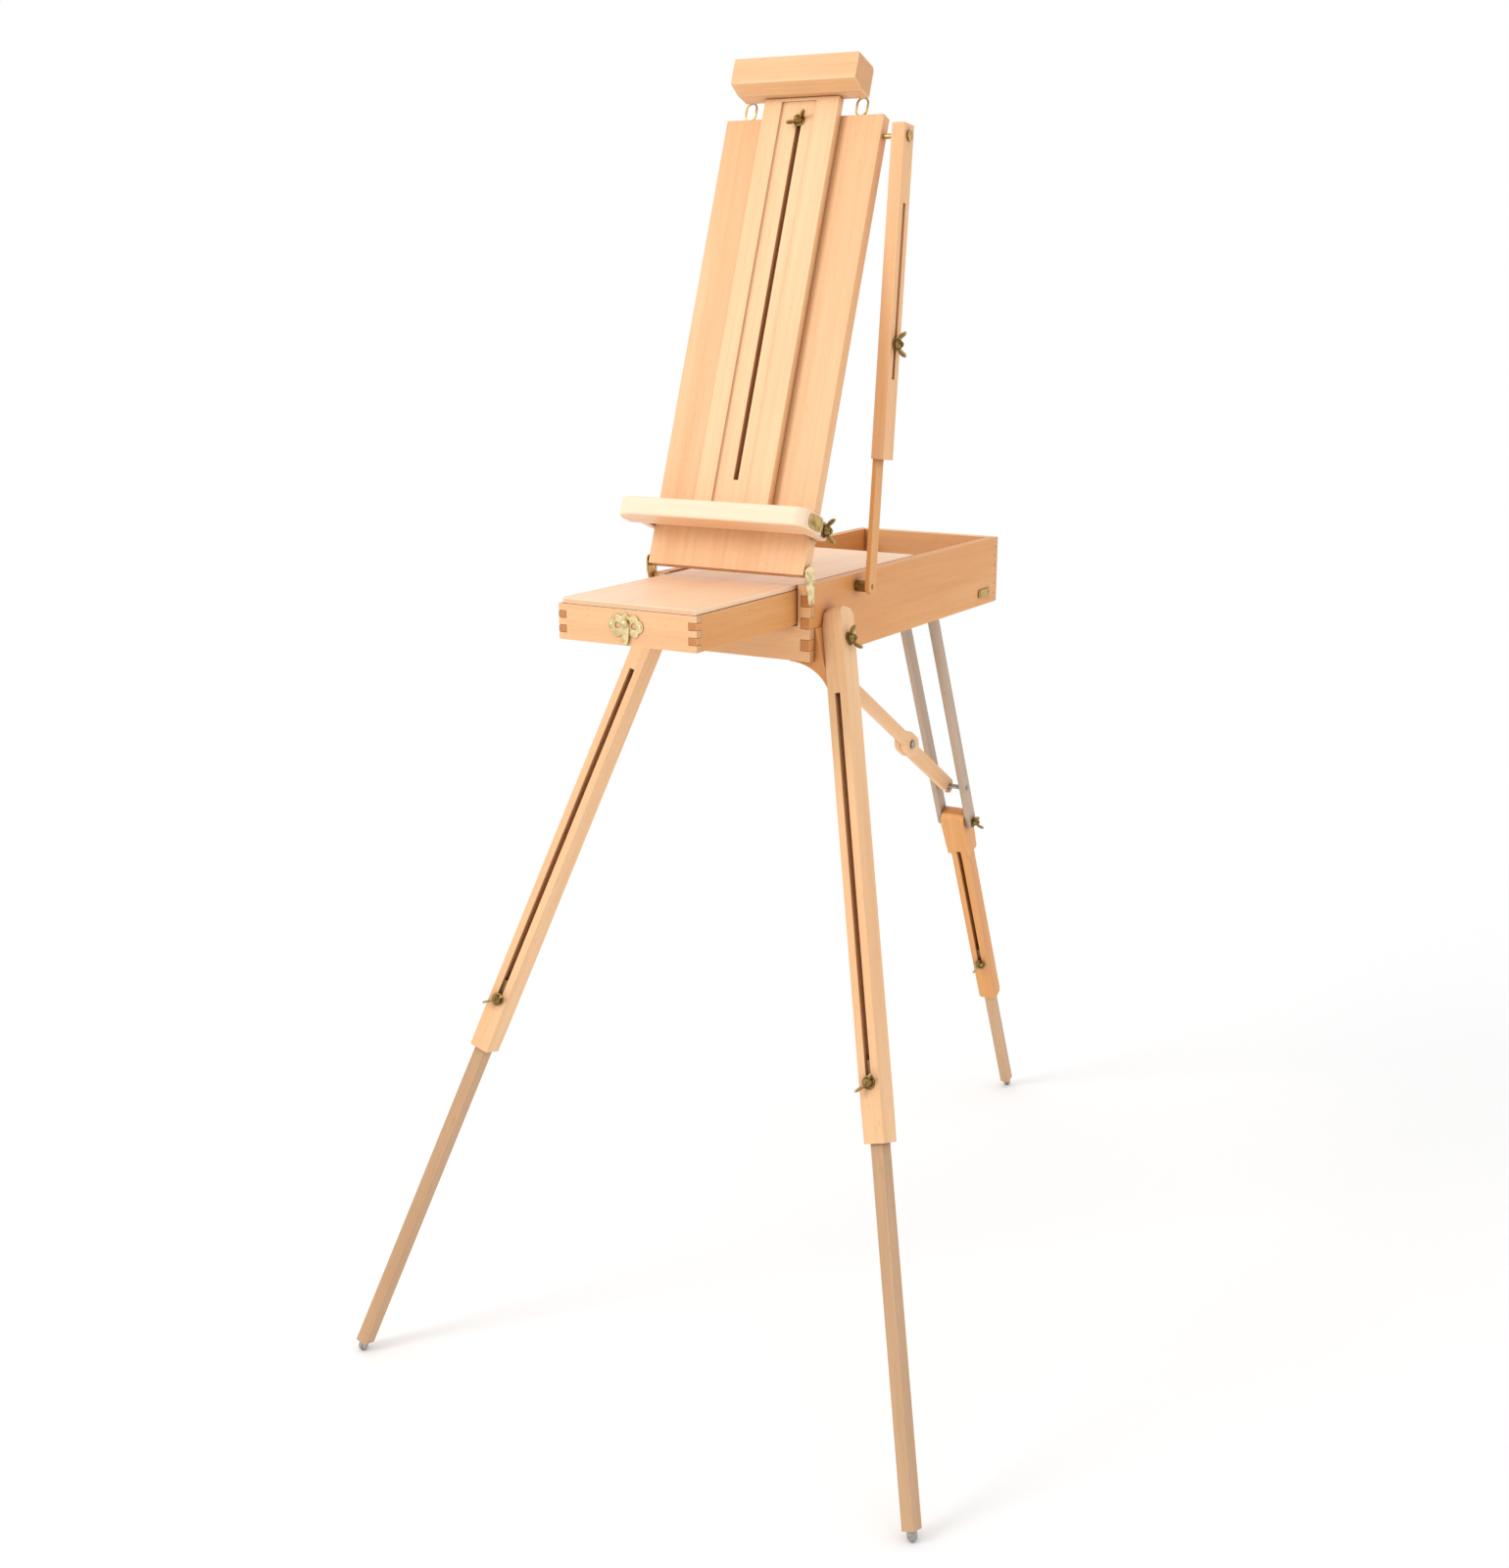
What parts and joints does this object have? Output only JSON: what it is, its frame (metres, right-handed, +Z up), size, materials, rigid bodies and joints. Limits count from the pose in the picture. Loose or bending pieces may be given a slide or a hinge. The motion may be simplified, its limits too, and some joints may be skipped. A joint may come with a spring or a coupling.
{
  "type": "half-box sketch easel",
  "caption": "Half-box wooden sketch easel on three telescoping legs, with a pull-out drawer, palette, tilting lid, sliding mast and canvas ledge.",
  "frame": {"origin": "on the floor under the middle of the footprint's bounding box", "axes": "+Z up, +X to the painter's right, -Y towards the painter, the way the drawer pulls out"},
  "size_m": [0.7928, 1.2086, 1.5893],
  "materials": {
    "beech": "satin",
    "beech_inner": "satin",
    "brass": "satin",
    "steel": "satin"
  },
  "bodies": {
    "box": {"side_wall_left": "beech", "side_wall_right": "beech", "front_frame": "beech", "rear_wall": "beech", "bottom_panel": "beech_inner", "hinge_plate_left": "brass", "hinge_plate_right": "brass", "leg_block_left": "beech", "leg_block_right": "beech", "rear_mount": "beech_inner", "rear_pin": "steel", "brace_mount": "beech_inner", "brace_pin": "steel", "catch_plate": "brass", "stay_screw": "steel"},
    "drawer": {"drawer_front": "beech", "drawer_back": "beech", "drawer_side_left": "beech", "drawer_side_right": "beech", "drawer_bottom": "beech_inner", "drawer_latch": "brass"},
    "palette": {"palette": "beech"},
    "lid": {"lid_panel": "beech", "catch_loop_left": "brass", "catch_loop_right": "brass"},
    "mast": {"mast_board": "beech", "mast_head": "beech"},
    "ledge": {"ledge": "beech"},
    "mast_nut": {"mast_wing": "brass"},
    "ledge_nut": {"ledge_wing": "brass"},
    "rear_fork": {"fork_slat_left": "beech_inner", "fork_slat_right": "beech_inner", "hook_pin": "steel"},
    "knee_nut": {"knee_wing": "brass"},
    "rear_lower": {"rear_sleeve": "beech"},
    "rear_extension": {"rear_inner": "beech_inner", "rear_tip": "steel"},
    "rear_nut": {"rear_wing": "brass"},
    "brace": {"brace_upper": "beech_inner", "brace_lower": "beech_inner", "brace_bolt": "steel"},
    "leg_left": {"leg_sleeve_left": "beech"},
    "leg_extension_left": {"leg_inner_left": "beech_inner", "leg_tip_left": "steel"},
    "leg_pivot_nut_left": {"leg_pivot_wing_left": "brass"},
    "leg_slot_nut_left": {"leg_slot_wing_left": "brass"},
    "stay_bar": {"stay_bar": "beech_inner"},
    "stay_sleeve": {"stay_sleeve": "beech", "stay_bolt": "brass"},
    "stay_nut": {"stay_wing": "brass"},
    "leg_right": {"leg_sleeve_right": "beech"},
    "leg_extension_right": {"leg_inner_right": "beech_inner", "leg_tip_right": "steel"},
    "leg_pivot_nut_right": {"leg_pivot_wing_right": "brass"},
    "leg_slot_nut_right": {"leg_slot_wing_right": "brass"}
  },
  "joints": [
    {"name": "drawer_slide", "type": "slide", "parent": "box", "child": "drawer", "axis": [0, -1, 0], "range_m": [-0.218, 0.1]},
    {"name": "palette_slide", "type": "slide", "parent": "drawer", "child": "palette", "axis": [0, -1, 0], "range_m": [0, 0.12]},
    {"name": "lid_tilt", "type": "hinge", "parent": "box", "child": "lid", "pos_m": [0, -0.3317, 1.004], "axis": [-1, 0, 0], "range_deg": [-5, 70]},
    {"name": "mast_slide", "type": "slide", "parent": "lid", "child": "mast", "axis": [0, 0.342, 0.9397], "range_m": [0, 0.415]},
    {"name": "ledge_slide", "type": "slide", "parent": "lid", "child": "ledge", "axis": [0, 0.342, 0.9397], "range_m": [-0.02, 0.08]},
    {"name": "mast_nut_spin", "type": "hinge", "parent": "lid", "child": "mast_nut", "pos_m": [0, -0.1656, 1.51181], "axis": [0, -0.9397, 0.342], "continuous": true},
    {"name": "ledge_nut_spin", "type": "hinge", "parent": "ledge", "child": "ledge_nut", "pos_m": [0.1186, -0.31425, 1.05192], "axis": [1, 0, 0], "continuous": true},
    {"name": "leg_fold_left", "type": "hinge", "parent": "box", "child": "leg_left", "pos_m": [-0.1268, -0.2894, 0.922], "axis": [0.9611, 0, -0.2762], "range_deg": [0, 107]},
    {"name": "leg_slide_left", "type": "slide", "parent": "leg_left", "child": "leg_extension_left", "axis": [-0.2628, -0.3069, -0.9147], "range_m": [-0.4, 0.003]},
    {"name": "leg_pivot_spin_left", "type": "hinge", "parent": "leg_left", "child": "leg_pivot_nut_left", "pos_m": [-0.13958, -0.2894, 0.92567], "axis": [-0.9611, 0, 0.2762], "continuous": true},
    {"name": "leg_nut_spin_left", "type": "hinge", "parent": "leg_extension_left", "child": "leg_slot_nut_left", "pos_m": [-0.25994, -0.46093, 0.45863], "axis": [0.0847, -0.9517, 0.2949], "continuous": true},
    {"name": "stay_swing", "type": "hinge", "parent": "box", "child": "stay_bar", "pos_m": [0.122, -0.2087, 0.975], "axis": [-1, 0, 0], "range_deg": [-6, 80.5]},
    {"name": "stay_slide", "type": "slide", "parent": "stay_bar", "child": "stay_sleeve", "axis": [0, 0.1044, 0.9945], "range_m": [-0.125, 0.01]},
    {"name": "stay_nut_spin", "type": "hinge", "parent": "stay_bar", "child": "stay_nut", "pos_m": [0.1383, -0.17903, 1.25745], "axis": [1, 0, 0], "continuous": true},
    {"name": "leg_fold_right", "type": "hinge", "parent": "box", "child": "leg_right", "pos_m": [0.1268, -0.2894, 0.922], "axis": [0.9611, 0, 0.2762], "range_deg": [0, 107]},
    {"name": "leg_slide_right", "type": "slide", "parent": "leg_right", "child": "leg_extension_right", "axis": [0.2628, -0.3069, -0.9147], "range_m": [-0.4, 0.003]},
    {"name": "leg_pivot_spin_right", "type": "hinge", "parent": "leg_right", "child": "leg_pivot_nut_right", "pos_m": [0.13958, -0.2894, 0.92567], "axis": [0.9611, 0, 0.2762], "continuous": true},
    {"name": "leg_nut_spin_right", "type": "hinge", "parent": "leg_extension_right", "child": "leg_slot_nut_right", "pos_m": [0.25994, -0.46093, 0.45863], "axis": [-0.0847, -0.9517, 0.2949], "continuous": true},
    {"name": "rear_fold", "type": "hinge", "parent": "box", "child": "rear_fork", "pos_m": [0, 0.1883, 0.884], "axis": [-1, 0, 0], "range_deg": [0, 88]},
    {"name": "rear_knee", "type": "hinge", "parent": "rear_fork", "child": "rear_lower", "pos_m": [0, 0.35162, 0.53425], "axis": [1, 0, 0], "range_deg": [0, 150]},
    {"name": "rear_slide", "type": "slide", "parent": "rear_lower", "child": "rear_extension", "axis": [0, 0.4231, -0.9061], "range_m": [-0.2, 0.003]},
    {"name": "knee_nut_spin", "type": "hinge", "parent": "rear_fork", "child": "knee_nut", "pos_m": [0.0278, 0.35162, 0.53425], "axis": [1, 0, 0], "continuous": true},
    {"name": "rear_nut_spin", "type": "hinge", "parent": "rear_extension", "child": "rear_nut", "pos_m": [0, 0.46354, 0.26315], "axis": [0, -0.9061, -0.4231], "continuous": true},
    {"name": "brace_swing", "type": "hinge", "parent": "box", "child": "brace", "pos_m": [0, -0.1507, 0.888], "axis": [1, 0, 0], "range_deg": [0, 25]}
  ],
  "couplings": [
    {"joint": "stay_swing", "follows": "lid_tilt", "ratio": 1.1401},
    {"joint": "stay_slide", "follows": "lid_tilt", "m_per_rad": -0.1003}
  ]
}
